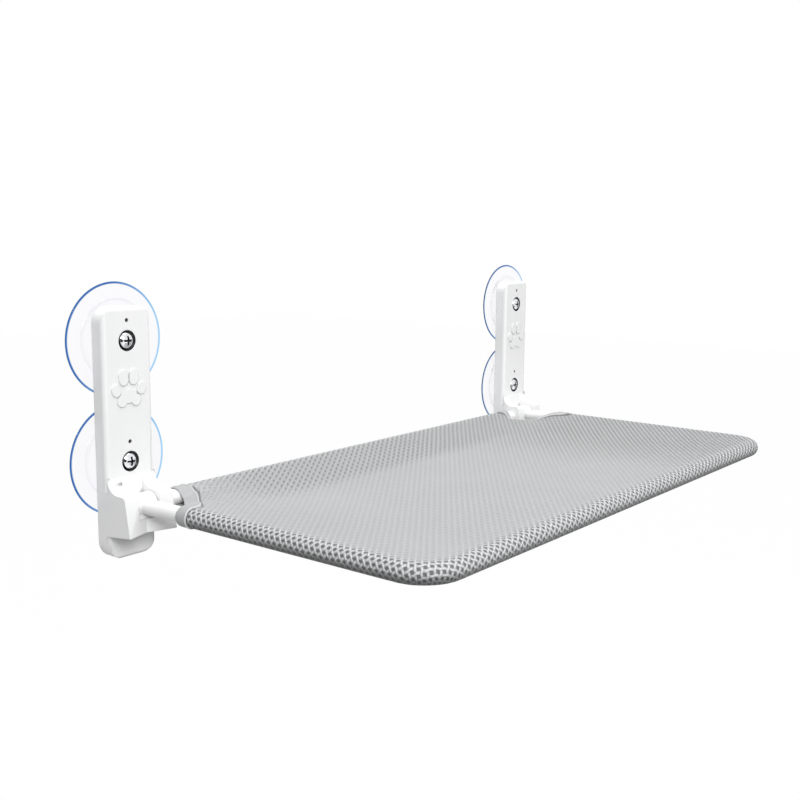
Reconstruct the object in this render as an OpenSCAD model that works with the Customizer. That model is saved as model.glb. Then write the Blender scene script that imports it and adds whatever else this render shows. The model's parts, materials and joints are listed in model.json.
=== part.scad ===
// Window mounted cat perch: two suction brackets on the glass hold a fabric covered frame that folds up.
// The origin is on the glass, midway between the four cups. The room is towards -Y and up is +Z.

/* [Frame] */
// Distance between the side tubes, which is also the distance between the brackets
frame_w = 559; // [400:1:760]
// Distance from the rear crossbar to the front tube
frame_d = 284; // [180:1:420]
// Height of the frame's axis below the middle of the cups
frame_drop = 80.9; // [70:0.1:110]
// Distance from the glass to the rear crossbar
bar_out = 27; // [24:0.5:40]
// Outside diameter of every tube
tube_d = 12.7; // [10:0.1:16]
// Wall of every tube
tube_wall = 1.2; // [0.8:0.1:1.6]
// Bend radius at the front corners, along the tube's centre
bend_r = 26.5; // [22:0.5:50]
// Straight tube past each bend, along the front
bend_tail = 38; // [30:1:80]
// Length of the nylon joiner inside each front joint
joiner_l = 64; // [40:1:70]

/* [Bracket] */
// Distance between the upper and lower cup screws
screw_pitch = 95; // [80:1:120]
// Width of a bracket
bracket_w = 46; // [42:0.5:60]
// Space between the glass and the back of the bracket
bracket_off = 3.5; // [3:0.1:5]
// Distance from the glass to the bracket's front face
bracket_front = 16.5; // [16:0.1:20]
// Top of the bracket above the middle of the cups
bracket_top = 74; // [65:0.5:90]
// Bottom tip of the bracket below the middle of the cups
bracket_foot = 124.5; // [118:0.5:140]
// Corner radius of the bracket's outline at the top
top_r = 12; // [4:0.5:16]
// Corner radius of the bracket's outline at the foot
foot_r = 15; // [6:0.5:20]
// Rounding of the long front edges
edge_r = 3.4; // [1:0.1:5]
// Wall of the moulded shell
shell_wall = 2.6; // [2:0.1:4]
// Thickness of a stiffening rib
rib_t = 2; // [1.2:0.1:3]
// Height of the raised paw print
paw_h = 0.9; // [0.3:0.1:1.2]
// Height of the paw print's middle above the middle of the cups
paw_z = 8.5; // [0:0.5:20]
// Diameter of the small blind hole above each screw
pip_d = 3.2; // [1.5:0.1:3.6]
// Height of the small hole above its screw
pip_up = 15.8; // [15.5:0.1:17]
// Depth of the small hole from the bracket's front face
pip_depth = 8; // [3:0.5:10]

/* [Arm] */
// Height of the arm's top above the frame's axis
arm_rise = 11.1; // [10:0.1:16]
// Distance from the glass to the front of the arm at its top
arm_top_out = 37; // [34:0.5:48]
// Distance from the glass to the front of the arm at its bottom
arm_low_out = 42.6; // [38:0.5:56]
// Depth of the arm's front bottom edge below the frame's axis
arm_low = 20.4; // [18:0.1:28]
// Depth of the arm's rear bottom edge below the frame's axis
arm_back_low = 23.4; // [20:0.1:30]
// Radius of the hollow corner between the arm and the plate
arm_fillet = 12; // [2:0.5:12]
// Width of the fork's channel
fork_gap = 20; // [18:0.1:26]
// Turn of the two facets below the tube, out of the front plane
facet_turn = 22; // [12:1:35]
// Distance from the glass to the valley between the facets
facet_valley = 34; // [32:0.5:44]
// Material left on the plate's face at the rear of the fork's channel
channel_skin = 0.5; // [0.3:0.1:1]
// Depth of the bar's blind hole in the outer prong
blind_depth = 9; // [6:0.5:10]

/* [Suction cups] */
// Diameter of a cup
cup_d = 90; // [70:1:110]
// Diameter of the raised ring on a cup
ring_d = 62; // [52:1:68]
// Height of the raised ring's top above the glass
ring_h = 3; // [2:0.1:3.1]
// Height of the cup's crown above the glass, under the bracket
crown_h = 3.2; // [2.6:0.1:3.3]
// Depth of the hollow under the cup
cup_hollow = 1.2; // [0.6:0.1:1.6]
// Thickness of the cup's lip
lip_t = 0.8; // [0.5:0.1:1.2]
// Width of the flat sealing band at the rim
seal_w = 6; // [4:0.5:10]
// Diameter of the cup's neck
neck_d = 24; // [20:0.5:26]
// Distance from the glass to the end of the neck
neck_end = 9; // [8:0.1:10]

/* [Cup screws] */
// Diameter of a cup screw's shank
screw_d = 5; // [4:0.1:6]
// Diameter of the domed head
head_d = 15; // [12:0.1:15.5]
// Height of the domed head
head_h = 4.4; // [2.5:0.1:4.9]
// Diameter of the recess around the head
recess_d = 16.4; // [15.8:0.1:19]
// Distance from the glass to the floor of the recess
recess_floor = 14; // [12:0.1:14.4]
// Depth of the cross in the head
cross_depth = 1.9; // [1:0.1:2.4]
// Width of each slot of the cross
cross_w = 1.7; // [1:0.1:2.5]
// Length of each slot of the cross
cross_l = 7.4; // [5:0.1:9]
// Diameter of the brass insert's barrel
insert_d = 9; // [8:0.1:10]
// Diameter of the insert's flange
insert_flange_d = 13; // [11:0.1:16]
// Thickness of the insert's flange
insert_flange_t = 1; // [0.6:0.1:1.4]
// Distance from the glass to the insert's flange
insert_start = 4.2; // [3.8:0.1:4.6]

/* [Hinge] */
// Diameter of the knuckle's collar round the crossbar
collar_d = 19; // [17:0.1:20]
// Side clearance of the knuckle in the fork
side_gap = 0.3; // [0.2:0.05:0.6]
// Length of the spigot inside the side tube
spigot_l = 24; // [16:1:40]
// Distance from the crossbar to the rear end of the side tube
neck_reach = 10; // [9.6:0.1:14]
// Depth of the heel's flat below the crossbar's centre
heel_drop = 9.8; // [9.6:0.1:11]
// Reach of the heel in front of the crossbar's centre
heel_reach = 7.6; // [5:0.1:9]
// Diameter of the set screw through the collar
set_screw_d = 4; // [3:0.1:5]
// Length of the set screw
set_screw_l = 4.6; // [4:0.1:5]
// Diameter of the tube screws
tube_screw_d = 3; // [2.5:0.1:4]
// Head diameter of the tube screws
tube_screw_head_d = 5.6; // [4.5:0.1:7]
// Length of the tube screws
tube_screw_l = 7.4; // [6:0.1:9]

/* [Fabric] */
// Thickness of the stretched mesh fabric
fabric_t = 1; // [0.6:0.1:2]
// Slack between the fabric and a tube
fabric_slack = 0.3; // [0.25:0.05:1]
// Width of the flap under the side and front tubes
flap_w = 20; // [14:0.5:22]
// Width of the turned hem on the flap
hem_w = 10; // [6:0.5:12]
// Width of the flap under the crossbar
rear_flap_w = 32; // [24:1:50]
// Width of the hook and loop strips
strip_w = 20; // [16:1:30]
// Thickness of each strip
strip_t = 0.8; // [0.6:0.1:1.2]
// Width of the cut-out at each rear corner, along the crossbar
notch_w = 36; // [32:1:60]
// Depth of the straight rear part of the cut-out
notch_rear = 10; // [0:0.5:16]
// Depth of the cut-out along the side tube
notch_d = 51; // [44:1:70]
// Width of the cut-out where it meets the side tube
notch_side = 3; // [0:0.5:8]
// Lean of the cut-out's edge where it crosses the crossbar, in degrees
notch_lean = 12; // [0:1:20]
// Width of the binding round the cut-out
binding_w = 11; // [8:0.5:20]
// Thickness of the binding
binding_t = 0.8; // [0.4:0.1:1.5]

/* [Fits] */
// Radial clearance of the crossbar in its bearings
running_gap = 0.1; // [0.05:0.01:0.1]
// Radial clearance of parts that are fixed in one another
fixed_gap = 0.05; // [0.02:0.01:0.1]
// Radial clearance round the shanks of the cup screws
hole_gap = 0.25; // [0.1:0.05:0.5]
// Radial clearance round the cup's neck
neck_gap = 0.3; // [0.2:0.05:0.6]

/* [Hidden] */
$fn = 72;
overrun = fabric_t;
half_w = frame_w / 2;
tube_r = tube_d / 2;
bore_r = tube_r - tube_wall;
screw_head_r = tube_screw_head_d / 2;
screw_seat = sqrt(tube_r * tube_r - screw_head_r * screw_head_r) - fixed_gap;
axis_z = -frame_drop;
axis_y = -bar_out;
side_x = bracket_w / 2;
fork_x = fork_gap / 2;
bar_end = half_w + fork_x + blind_depth - side_gap;
sleeve_in = tube_r + fabric_slack;
sleeve_out = sleeve_in + fabric_t;
fork_floor = axis_z - heel_drop;
arm_top_z = axis_z + arm_rise;
arm_low_z = axis_z - arm_low;
arm_back_z = axis_z - arm_back_low;
inner_y = shell_wall - bracket_front;
straight_d = frame_d - bend_r;
front_half = half_w - bend_r - bend_tail;
side_l = straight_d - neck_reach;
post_wall_share = 0.65;
post_r = neck_d / 2 + neck_gap + shell_wall * post_wall_share;
ring_hollow_share = 0.75;
facet_rise_share = 0.1;
joiner_screw_share = 0.25;
panel_z = axis_z - sleeve_in + 2 * strip_t;
cup_zs = [screw_pitch / 2, -screw_pitch / 2];

// Puts a shape drawn for the left bracket's own centre in place on the left
module on_left() {
    translate([-half_w, 0, 0]) children();
}

// Puts the mirrored shape in place on the right
module on_right() {
    mirror([1, 0, 0]) on_left() children();
}

// A cylinder along X, from x = start to x = finish
module rod_x(radius, start, finish) {
    translate([start, 0, 0]) rotate([0, 90, 0]) cylinder(r = radius, h = finish - start);
}

// A cylinder towards the room, from start to finish in front of the glass
module rod_out(radius, start, finish) {
    rotate([90, 0, 0]) translate([0, 0, start]) cylinder(r = radius, h = finish - start);
}

// Extrudes an outline drawn in (y, z) over the bracket's width
module across(width) {
    translate([-width / 2, 0, 0]) rotate([90, 0, 90]) linear_extrude(width) children();
}

// A square corner piece that rounds an outward corner at the origin, whose body lies towards +x and +y
module corner_cut(radius) {
    difference() {
        translate([-overrun, -overrun]) square(radius + overrun);
        translate([radius, radius]) circle(radius);
    }
}

// Front outline of the plate in (x, z), with its four rounded corners, drawn inside it by inset
module plate_outline(inset) {
    difference() {
        translate([inset - side_x, inset - bracket_foot])
            square([bracket_w - 2 * inset, bracket_top + bracket_foot - 2 * inset]);
        for (s = [0, 1]) mirror([s, 0]) {
            translate([inset - side_x, bracket_top - inset]) mirror([0, 1]) corner_cut(top_r - inset);
            translate([inset - side_x, inset - bracket_foot]) corner_cut(foot_r - inset);
        }
    }
}

// Plan of the plate in (x, y), with rounded front edges
module plate_plan() {
    difference() {
        translate([-side_x, -bracket_front]) square([bracket_w, bracket_front - bracket_off]);
        for (s = [0, 1]) mirror([s, 0]) translate([-side_x, -bracket_front]) corner_cut(edge_r);
    }
}

// Side view of the plate in (y, z), with its front edge rounded at the top and at the foot
module plate_side() {
    difference() {
        translate([-bracket_front, -bracket_foot])
            square([bracket_front - bracket_off, bracket_top + bracket_foot]);
        translate([-bracket_front, bracket_top]) mirror([0, 1]) corner_cut(edge_r);
        translate([-bracket_front, -bracket_foot]) corner_cut(edge_r);
    }
}

// Side view of the arm in (y, z), with a rounded top front edge and a hollow fillet at the plate
module arm_side() {
    lean = atan((arm_low_out - arm_top_out) / (arm_rise + arm_low));
    setback = edge_r * tan((90 - lean) / 2);
    difference() {
        polygon([[-bracket_off, arm_top_z], [-arm_top_out, arm_top_z], [-arm_low_out, arm_low_z],
                 [-bracket_front, arm_back_z], [-bracket_off, arm_back_z]]);
        translate([-arm_top_out, arm_top_z]) difference() {
            polygon([[-overrun, overrun], [setback, overrun], [setback, -edge_r],
                     [-setback * sin(lean), -setback * cos(lean)], [-overrun, -setback * cos(lean)]]);
            translate([setback - fixed_gap, fixed_gap - edge_r]) circle(edge_r);
        }
    }
    difference() {
        translate([-bracket_front - arm_fillet, arm_top_z]) square(arm_fillet);
        translate([-bracket_front - arm_fillet, arm_top_z + arm_fillet]) circle(arm_fillet);
    }
}

// A toe of the paw: two rounds joined by a bar, sized in shares of the bracket's width
module toe(shares) {
    radius = bracket_w * shares[0];
    spread = bracket_w * shares[1];
    for (s = [-1, 1]) translate([0, s * spread]) circle(radius);
    translate([-radius, -spread]) square([2 * radius, 2 * spread]);
}

// Paw print in (x, z): four toes over one pad with a scalloped foot, in shares of the bracket's width
module paw() {
    inner_shares = [0.106, 0.23];
    outer_shares = [0.262, 0.02];
    lobe_shares = [0.145, -0.165];
    middle_shares = [0, -0.087];
    web_shares = [[0.145, -0.165], [0.195, -0.09], [0.06, 0],
                  [-0.06, 0], [-0.195, -0.09], [-0.145, -0.165]];
    inner_toe_shares = [0.097, 0.04];
    outer_toe_shares = [0.09, 0.018];
    lobe_share = 0.104;
    middle_share = 0.128;
    inner_turn = 6;
    outer_turn = 24;
    for (s = [0, 1]) mirror([s, 0]) {
        translate(bracket_w * inner_shares) rotate(-inner_turn) toe(inner_toe_shares);
        translate(bracket_w * outer_shares) rotate(-outer_turn) toe(outer_toe_shares);
        translate(bracket_w * lobe_shares) circle(bracket_w * lobe_share);
    }
    translate(bracket_w * middle_shares) circle(bracket_w * middle_share);
    polygon(bracket_w * web_shares);
}

// Outside shape of a bracket before it is hollowed
module bracket_block() {
    intersection() {
        across(bracket_w) plate_side();
        rotate([90, 0, 0]) linear_extrude(arm_low_out) plate_outline(0);
        translate([0, 0, -bracket_foot]) linear_extrude(bracket_top + bracket_foot) plate_plan();
    }
    across(bracket_w) arm_side();
    translate([0, -bracket_front, paw_z]) rotate([90, 0, 0]) linear_extrude(paw_h) paw();
}

// The two facets that widen the channel's mouth below the tube
module facet_wedge() {
    translate([0, -facet_valley, arm_low_z - arm_low]) intersection_for(s = [-1, 1])
        rotate([0, 0, s * facet_turn]) translate([-bracket_w, -bracket_w, 0])
            cube([2 * bracket_w, bracket_w, 2 * arm_low + tube_d * facet_rise_share]);
}

// Everything that is cut from the bracket's moulding
module bracket_cuts() {
    // channel between the prongs
    translate([-fork_x, -2 * arm_low_out, fork_floor])
        cube([fork_gap, 2 * arm_low_out - bracket_front - channel_skin, frame_drop]);
    facet_wedge();
    // bearing for the crossbar, through the inner prong and blind in the outer one
    translate([0, axis_y, axis_z])
        rod_x(tube_r + running_gap, -fork_x - blind_depth, side_x + overrun);
    // pockets that core the prongs and the floor from below
    for (s = [0, 1]) mirror([s, 0, 0])
        translate([fork_x + shell_wall, -facet_valley - rib_t, axis_z - 2 * arm_low])
            cube([side_x - fork_x - 2 * shell_wall, facet_valley + rib_t - bracket_front - shell_wall,
                  2 * arm_low - heel_drop - rib_t]);
    translate([-fork_x, shell_wall - facet_valley, axis_z - 2 * arm_low])
        cube([fork_gap, facet_valley - bracket_front - 2 * shell_wall,
              2 * arm_low - heel_drop - shell_wall]);
    // small blind holes above the screws
    for (z = cup_zs) translate([0, 0, z + pip_up])
        rod_out(pip_d / 2, bracket_front - pip_depth, bracket_front + overrun);
}

// Hollow behind the front wall, less the cup posts, the bosses of the small holes and the ribs
module bracket_hollow() {
    difference() {
        translate([0, inner_y + bracket_front, 0]) rotate([90, 0, 0])
            linear_extrude(bracket_front) plate_outline(shell_wall);
        for (z = cup_zs) translate([0, 0, z]) rod_out(post_r, 0, bracket_front);
        for (z = cup_zs) translate([0, 0, z + pip_up])
            rod_out(pip_d / 2 + rib_t, bracket_front - pip_depth - rib_t, bracket_front);
        for (s = [-1, 1]) translate([s * side_x / 2 - rib_t / 2, -bracket_front, -bracket_foot])
            cube([rib_t, bracket_front - bracket_off - rib_t, bracket_top + bracket_foot]);
        for (z = [0, arm_top_z - rib_t]) translate([-side_x, -bracket_front, z])
            cube([bracket_w, bracket_front - bracket_off - rib_t, rib_t]);
    }
}

module bracket_body() {
    difference() {
        bracket_block();
        bracket_cuts();
        bracket_hollow();
        for (z = cup_zs) translate([0, 0, z]) {
            rod_out(neck_d / 2 + neck_gap, 0, neck_end);
            rod_out(screw_d / 2 + hole_gap, 0, bracket_front);
            rod_out(recess_d / 2, recess_floor, bracket_front + overrun);
        }
    }
}

module insert_blank() {
    rod_out(insert_flange_d / 2, insert_start, insert_start + insert_flange_t);
    rod_out(insert_d / 2, insert_start, neck_end);
}

module cup_insert() {
    difference() {
        insert_blank();
        rod_out(screw_d / 2 + fixed_gap, 0, bracket_front);
    }
}

// A flat suction cup with its rim on the glass
module suction_cup() {
    rim = cup_d / 2;
    ring = ring_d / 2;
    difference() {
        rotate([90, 0, 0]) rotate_extrude() polygon([
            [0, cup_hollow], [ring, cup_hollow * ring_hollow_share], [rim - seal_w, 0], [rim, 0],
            [rim, lip_t], [rim - seal_w, 2 * lip_t], [ring + lip_t, ring_h - lip_t], [ring, ring_h],
            [ring - lip_t, ring_h], [ring - 2 * lip_t, ring_h - lip_t / 2], [side_x, crown_h],
            [neck_d / 2, crown_h],
            [neck_d / 2, neck_end], [0, neck_end]]);
        insert_blank();
        rod_out(insert_d / 2, insert_start, bracket_front);
    }
}

module cup_screw() {
    cap_r = (head_d * head_d / 4 + head_h * head_h) / (2 * head_h);
    difference() {
        union() {
            rod_out(screw_d / 2, insert_start + insert_flange_t, recess_floor);
            intersection() {
                rod_out(head_d / 2, recess_floor, recess_floor + head_h + overrun);
                translate([0, cap_r - recess_floor - head_h, 0]) sphere(cap_r, $fn = 120);
            }
        }
        for (a = [0, 90]) rotate([0, a, 0])
            translate([-cross_l / 2, -recess_floor - head_h - overrun, -cross_w / 2])
                cube([cross_l, overrun + cross_depth, cross_w]);
    }
}

// Tee knuckle: collar round the crossbar, neck and spigot for the side tube, and the heel that stops it
module knuckle() {
    half = fork_x - side_gap;
    translate([0, axis_y, axis_z]) difference() {
        union() {
            rod_x(collar_d / 2, -half, half);
            rod_out(tube_r, 0, neck_reach);
            rod_out(bore_r - fixed_gap, 0, neck_reach + spigot_l);
            translate([-half, -heel_reach, -heel_drop]) cube([2 * half, heel_reach, heel_drop]);
        }
        rod_x(tube_r + fixed_gap, -fork_gap, fork_gap);
        set_screw_hole();
        translate([0, -neck_reach - spigot_l / 2, -screw_seat]) tube_screw(fixed_gap);
    }
}

// Hole for the set screw, from below up to the crossbar's centre
module set_screw_hole() {
    translate([0, 0, -collar_d]) cylinder(r = set_screw_d / 2 + fixed_gap, h = collar_d);
}

// Headless screw that locks the collar to the crossbar
module set_screw() {
    translate([0, axis_y, axis_z - collar_d / 2 + fabric_slack]) difference() {
        cylinder(d = set_screw_d, h = set_screw_l);
        translate([0, 0, -set_screw_l / 2]) cylinder(d = set_screw_d / 2, h = set_screw_l, $fn = 6);
    }
}

// Countersunk screw pointing up from a tube's lowest line; extra widens it for its own hole
module tube_screw(extra) {
    cone = screw_head_r - tube_screw_d / 2;
    cylinder(r = tube_screw_d / 2 + extra, h = tube_screw_l + extra);
    cylinder(r1 = screw_head_r + extra, r2 = tube_screw_d / 2 + extra, h = cone);
    if (extra > 0) translate([0, 0, -tube_r]) cylinder(r = screw_head_r + extra, h = tube_r);
}

// Where the four joiner screws sit, in x from the joint
module at_joiner_screws() {
    for (s = [-1, 1])
        translate([s * joiner_l * joiner_screw_share - front_half, axis_y - frame_d, axis_z - screw_seat])
            children();
}

module spigot_screw_place() {
    translate([-half_w, axis_y - neck_reach - spigot_l / 2, axis_z - screw_seat]) children();
}

module crossbar() {
    difference() {
        translate([0, axis_y, axis_z]) rod_x(tube_r, -bar_end, bar_end);
        translate([0, axis_y, axis_z]) rod_x(bore_r, -bar_end - overrun, bar_end + overrun);
        for (s = [-1, 1]) translate([s * half_w, axis_y, axis_z]) set_screw_hole();
    }
}

// The path of a side tube, swept with a round of the given radius
module side_path(radius, extra) {
    translate([-half_w, axis_y - neck_reach, axis_z]) rod_out(radius, -extra, side_l);
    translate([bend_r - half_w, axis_y - straight_d, axis_z]) rotate([0, 0, 180])
        rotate_extrude(angle = 90) translate([bend_r, 0]) circle(radius);
    translate([0, axis_y - frame_d, axis_z]) rod_x(radius, bend_r - half_w, extra - front_half);
}

module side_tube() {
    difference() {
        side_path(tube_r, 0);
        side_path(bore_r, overrun);
        at_joiner_screws() tube_screw(fixed_gap);
        spigot_screw_place() tube_screw(fixed_gap);
    }
}

module front_rail() {
    difference() {
        translate([0, axis_y - frame_d, axis_z]) rod_x(tube_r, -front_half, front_half);
        translate([0, axis_y - frame_d, axis_z]) rod_x(bore_r, -front_half - overrun, front_half + overrun);
        for (s = [0, 1]) mirror([s, 0, 0]) at_joiner_screws() tube_screw(fixed_gap);
    }
}

module joiner() {
    difference() {
        translate([-front_half, axis_y - frame_d, axis_z])
            rod_x(bore_r - fixed_gap, -joiner_l / 2, joiner_l / 2);
        at_joiner_screws() tube_screw(fixed_gap);
    }
}

// Cross section of the cover round a side or front tube, drawn inwards from the tube's centre
module edge_section() {
    difference() {
        union() {
            circle(sleeve_out);
            translate([0, -sleeve_out]) square([flap_w, 2 * sleeve_out]);
        }
        circle(sleeve_in);
        translate([0, -sleeve_in]) square([flap_w - hem_w, 2 * sleeve_in]);
        translate([0, 2 * strip_t - sleeve_in]) square([flap_w + overrun, 2 * (sleeve_in - strip_t)]);
    }
}

// Cross section of the cover round the crossbar, drawn inwards from its centre
module rear_section() {
    difference() {
        union() {
            circle(sleeve_out);
            translate([0, -sleeve_out]) square([rear_flap_w, 2 * sleeve_out]);
        }
        circle(sleeve_in);
        translate([0, -sleeve_in]) square([rear_flap_w + overrun, 2 * sleeve_in]);
    }
}

// Cut-out of a rear corner in (x, y) seen from above, whose edges are moved outwards by grow
module notch_outline(grow) {
    reach = bracket_w;
    slant = atan((notch_w - notch_side) / (notch_d - notch_rear));
    rear_way = [cos(notch_lean), sin(notch_lean)];
    slant_way = [cos(slant), -sin(slant)];
    front_way = [0, -1];
    polygon([[-reach, reach],
             [notch_w + grow / cos(notch_lean) - (reach + notch_rear) * tan(notch_lean), reach],
             [notch_w, -notch_rear] + grow * (rear_way + slant_way) / (1 + rear_way * slant_way),
             [notch_side, -notch_d] + grow * (slant_way + front_way) / (1 + slant_way * front_way),
             [-reach, -notch_d - grow]]);
}

module notches(grow) {
    for (s = [0, 1]) mirror([s, 0, 0])
        translate([-half_w, axis_y, axis_z - frame_drop]) linear_extrude(2 * frame_drop) notch_outline(grow);
}

// The cover with its four rolled edges, before the rear corners are cut out
module cover_whole() {
    translate([-half_w, axis_y, axis_z]) rotate([90, 0, 0]) linear_extrude(straight_d) edge_section();
    translate([half_w, axis_y, axis_z]) rotate([90, 0, 0]) linear_extrude(straight_d)
        mirror([1, 0]) edge_section();
    for (s = [0, 1]) mirror([s, 0, 0])
        translate([bend_r - half_w, axis_y - straight_d, axis_z]) rotate([0, 0, 180])
            rotate_extrude(angle = 90) translate([bend_r, 0]) mirror([1, 0]) edge_section();
    translate([bend_r - half_w, axis_y - frame_d, axis_z]) rotate([90, 0, 90])
        linear_extrude(frame_w - 2 * bend_r) edge_section();
    translate([-half_w, axis_y, axis_z]) rotate([90, 0, 90]) linear_extrude(frame_w)
        mirror([1, 0]) rear_section();
    translate([flap_w - half_w, axis_y + flap_w - frame_d, axis_z + sleeve_in])
        cube([frame_w - 2 * flap_w, frame_d - flap_w, fabric_t]);
}

module cover() {
    difference() {
        cover_whole();
        notches(0);
    }
}

// Solid outside shape of the covered frame, grown by the given amount
module cover_mass(grow) {
    radius = sleeve_out + grow;
    for (s = [-1, 1]) translate([s * half_w, axis_y, axis_z]) rod_out(radius, -radius, straight_d);
    translate([0, axis_y, axis_z]) rod_x(radius, -half_w, half_w);
    translate([-half_w, axis_y - straight_d, axis_z - radius]) cube([frame_w, straight_d, 2 * radius]);
}

module bindings() {
    difference() {
        intersection() {
            difference() {
                cover_mass(binding_t);
                cover_mass(fixed_gap);
            }
            notches(binding_w);
        }
        notches(0);
    }
}

module left_half() {
    intersection() {
        children();
        translate([-frame_w, -frame_w, -frame_w]) cube([frame_w, 2 * frame_w, 2 * frame_w]);
    }
}

module underside() {
    edge = flap_w - hem_w;
    difference() {
        translate([edge - half_w, axis_y + edge - frame_d, panel_z])
            cube([frame_w - 2 * edge, frame_d - edge - sleeve_out - fabric_t, fabric_t]);
        notches(fabric_slack);
        for (s = [0, 1]) mirror([s, 0, 0])
            translate([edge - half_w, axis_y + edge - frame_d, panel_z - overrun])
                linear_extrude(2 * overrun + fabric_t) corner_cut(bend_r - edge);
    }
}

module strip(level) {
    length = frame_w - 2 * notch_w - 2 * binding_w;
    translate([-length / 2, axis_y - sleeve_out - fabric_t - strip_w, axis_z - sleeve_in + level])
        cube([length, strip_w, strip_t]);
}

module left_bracket() {
    color([0.93, 0.93, 0.93]) on_left() bracket_body();
}

module right_bracket() {
    color([0.93, 0.93, 0.93]) on_right() bracket_body();
}

module left_upper_suction_cup() {
    color([0.85, 0.87, 0.95, 0.5]) on_left() translate([0, 0, cup_zs[0]]) suction_cup();
}

module left_lower_suction_cup() {
    color([0.85, 0.87, 0.95, 0.5]) on_left() translate([0, 0, cup_zs[1]]) suction_cup();
}

module right_upper_suction_cup() {
    color([0.85, 0.87, 0.95, 0.5]) on_right() translate([0, 0, cup_zs[0]]) suction_cup();
}

module right_lower_suction_cup() {
    color([0.85, 0.87, 0.95, 0.5]) on_right() translate([0, 0, cup_zs[1]]) suction_cup();
}

module left_cup_inserts() {
    color([0.8, 0.65, 0.3]) on_left() for (z = cup_zs) translate([0, 0, z]) cup_insert();
}

module right_cup_inserts() {
    color([0.8, 0.65, 0.3]) on_right() for (z = cup_zs) translate([0, 0, z]) cup_insert();
}

module left_upper_cup_screw() {
    color([0.75, 0.75, 0.78]) on_left() translate([0, 0, cup_zs[0]]) cup_screw();
}

module left_lower_cup_screw() {
    color([0.75, 0.75, 0.78]) on_left() translate([0, 0, cup_zs[1]]) cup_screw();
}

module right_upper_cup_screw() {
    color([0.75, 0.75, 0.78]) on_right() translate([0, 0, cup_zs[0]]) cup_screw();
}

module right_lower_cup_screw() {
    color([0.75, 0.75, 0.78]) on_right() translate([0, 0, cup_zs[1]]) cup_screw();
}

module left_hinge_knuckle() {
    color([0.88, 0.88, 0.88]) on_left() knuckle();
}

module right_hinge_knuckle() {
    color([0.88, 0.88, 0.88]) on_right() knuckle();
}

module knuckle_set_screws() {
    color([0.35, 0.35, 0.37]) {
        on_left() set_screw();
        on_right() set_screw();
    }
}

module rear_crossbar() {
    color([0.9, 0.9, 0.9]) crossbar();
}

module left_side_tube() {
    color([0.9, 0.9, 0.9]) side_tube();
}

module right_side_tube() {
    color([0.9, 0.9, 0.9]) mirror([1, 0, 0]) side_tube();
}

module front_tube() {
    color([0.9, 0.9, 0.9]) front_rail();
}

module left_tube_joiner() {
    color([0.7, 0.7, 0.7]) joiner();
}

module right_tube_joiner() {
    color([0.7, 0.7, 0.7]) mirror([1, 0, 0]) joiner();
}

module tube_screws() {
    color([0.6, 0.6, 0.62]) for (s = [0, 1]) mirror([s, 0, 0]) {
        at_joiner_screws() tube_screw(0);
        spigot_screw_place() tube_screw(0);
    }
}

module hammock_cover() {
    color([0.72, 0.73, 0.74]) cover();
}

module underside_panel() {
    color([0.68, 0.69, 0.7]) underside();
}

module left_corner_binding() {
    color([0.66, 0.67, 0.68]) left_half() bindings();
}

module right_corner_binding() {
    color([0.66, 0.67, 0.68]) mirror([1, 0, 0]) left_half() bindings();
}

module rear_loop_strip() {
    color([0.6, 0.6, 0.6]) strip(0);
}

module rear_hook_strip() {
    color([0.55, 0.55, 0.55]) strip(strip_t);
}

left_bracket();
right_bracket();
left_upper_suction_cup();
left_lower_suction_cup();
right_upper_suction_cup();
right_lower_suction_cup();
left_cup_inserts();
right_cup_inserts();
left_upper_cup_screw();
left_lower_cup_screw();
right_upper_cup_screw();
right_lower_cup_screw();
left_hinge_knuckle();
right_hinge_knuckle();
knuckle_set_screws();
rear_crossbar();
left_side_tube();
right_side_tube();
front_tube();
left_tube_joiner();
right_tube_joiner();
tube_screws();
hammock_cover();
underside_panel();
left_corner_binding();
right_corner_binding();
rear_loop_strip();
rear_hook_strip();
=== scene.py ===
import json
import math
import bmesh
import bpy
import numpy as np
from mathutils import Matrix, Vector


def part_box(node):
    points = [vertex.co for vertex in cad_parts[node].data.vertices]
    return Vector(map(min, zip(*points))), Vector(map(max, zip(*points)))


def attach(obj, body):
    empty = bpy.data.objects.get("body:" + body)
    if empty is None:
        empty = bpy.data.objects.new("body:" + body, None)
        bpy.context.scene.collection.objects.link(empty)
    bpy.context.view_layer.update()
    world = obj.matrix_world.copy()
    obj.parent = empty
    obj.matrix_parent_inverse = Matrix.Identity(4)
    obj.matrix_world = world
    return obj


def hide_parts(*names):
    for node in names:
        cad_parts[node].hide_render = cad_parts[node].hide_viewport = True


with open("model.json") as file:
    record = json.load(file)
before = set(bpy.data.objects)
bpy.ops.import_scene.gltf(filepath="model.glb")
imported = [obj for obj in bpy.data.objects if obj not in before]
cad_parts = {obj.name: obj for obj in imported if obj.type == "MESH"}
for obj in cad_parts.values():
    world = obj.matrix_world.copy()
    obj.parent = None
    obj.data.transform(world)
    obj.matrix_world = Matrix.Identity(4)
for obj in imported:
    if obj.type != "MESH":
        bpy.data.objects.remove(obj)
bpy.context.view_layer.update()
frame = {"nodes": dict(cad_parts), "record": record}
nodes = frame["nodes"]
print("perch frame loaded:", len(nodes), "nodes")

# camera, at the photograph's viewing angle

camera = {
    "eye": (-0.8116, -0.7038, 0.1385),
    "yaw": 0.904,          # turn from +Y towards +X, radians
    "pitch": -0.159,       # below the horizon
    "roll": 0.010,
    "focal": 1097.33 / 800,  # in picture widths
    "sensor": 36,          # millimetres
}


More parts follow.
